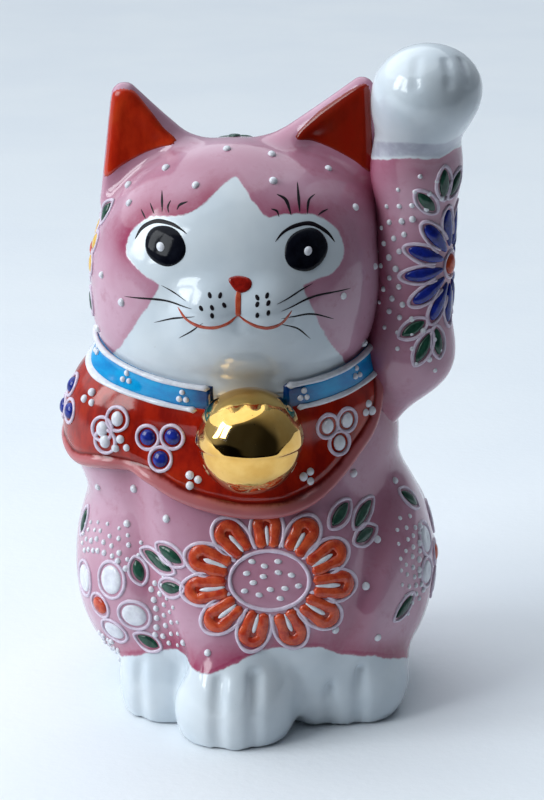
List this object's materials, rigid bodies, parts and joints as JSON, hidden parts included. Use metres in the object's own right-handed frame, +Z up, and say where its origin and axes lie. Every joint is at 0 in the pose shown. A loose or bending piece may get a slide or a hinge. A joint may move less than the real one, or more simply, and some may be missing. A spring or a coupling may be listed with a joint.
{
  "type": "beckoning cat figurine",
  "caption": "Seated beckoning cat with one raised arm, hollow glazed porcelain, with a gilded bell on a collar, a bib and raised enamel flowers.",
  "frame": {"origin": "on the flat resting face, under the middle of the body", "axes": "+Z up, the cat faces -Y, its raised left arm is on +X"},
  "size_m": [0.0756, 0.0622, 0.1251],
  "materials": {
    "glaze_pink": "clear glossy glaze over dusty pink and white painted porcelain",
    "gilding": "mirror-bright fired gilding over porcelain",
    "enamel_white": "glossy raised white overglaze enamel",
    "enamel_red": "glossy translucent iron-red enamel",
    "enamel_turquoise": "glossy turquoise-blue enamel",
    "enamel_blue": "glossy deep blue raised enamel",
    "enamel_black": "glossy black enamel",
    "enamel_orange": "glossy orange-red raised enamel",
    "enamel_yellow": "glossy pale yellow raised enamel",
    "enamel_green": "glossy dark green raised enamel"
  },
  "bodies": {
    "root": {"torso_casting": "glaze_pink", "head_casting": "glaze_pink", "raised_arm_casting": "glaze_pink", "bell": "gilding", "bib_layer": "enamel_red", "collar_band": "enamel_turquoise", "collar_piping": "enamel_white", "collar_dots": "enamel_white", "bib_berries": "enamel_blue", "bib_blossoms": "enamel_white", "bib_outlines": "enamel_white", "bib_dots": "enamel_white", "eye_discs": "enamel_black", "eye_highlights": "enamel_white", "nose_pad": "enamel_red", "ear_linings": "enamel_red", "belly_petals_orange": "enamel_orange", "belly_strokes_white": "enamel_white", "belly_outlines": "enamel_white", "belly_ring": "enamel_white", "belly_dots": "enamel_white", "belly_leaves": "enamel_green", "belly_leaf_outlines": "enamel_white", "right_haunch_blossoms": "enamel_white", "right_haunch_centre": "enamel_orange", "right_haunch_leaves": "enamel_green", "right_haunch_outlines": "enamel_white", "left_haunch_blossoms": "enamel_white", "left_haunch_centre": "enamel_orange", "left_haunch_leaves": "enamel_green", "left_haunch_outlines": "enamel_white", "haunch_dots": "enamel_white", "body_dots": "enamel_white", "head_dots": "enamel_white", "arm_petals_blue": "enamel_blue", "arm_centre": "enamel_orange", "arm_leaves": "enamel_green", "arm_outlines": "enamel_white", "arm_dots": "enamel_white", "temple_petals": "enamel_yellow", "temple_centre": "enamel_orange", "temple_leaves": "enamel_green", "temple_outlines": "enamel_white", "crown_leaves": "enamel_green"}
  },
  "joints": []
}
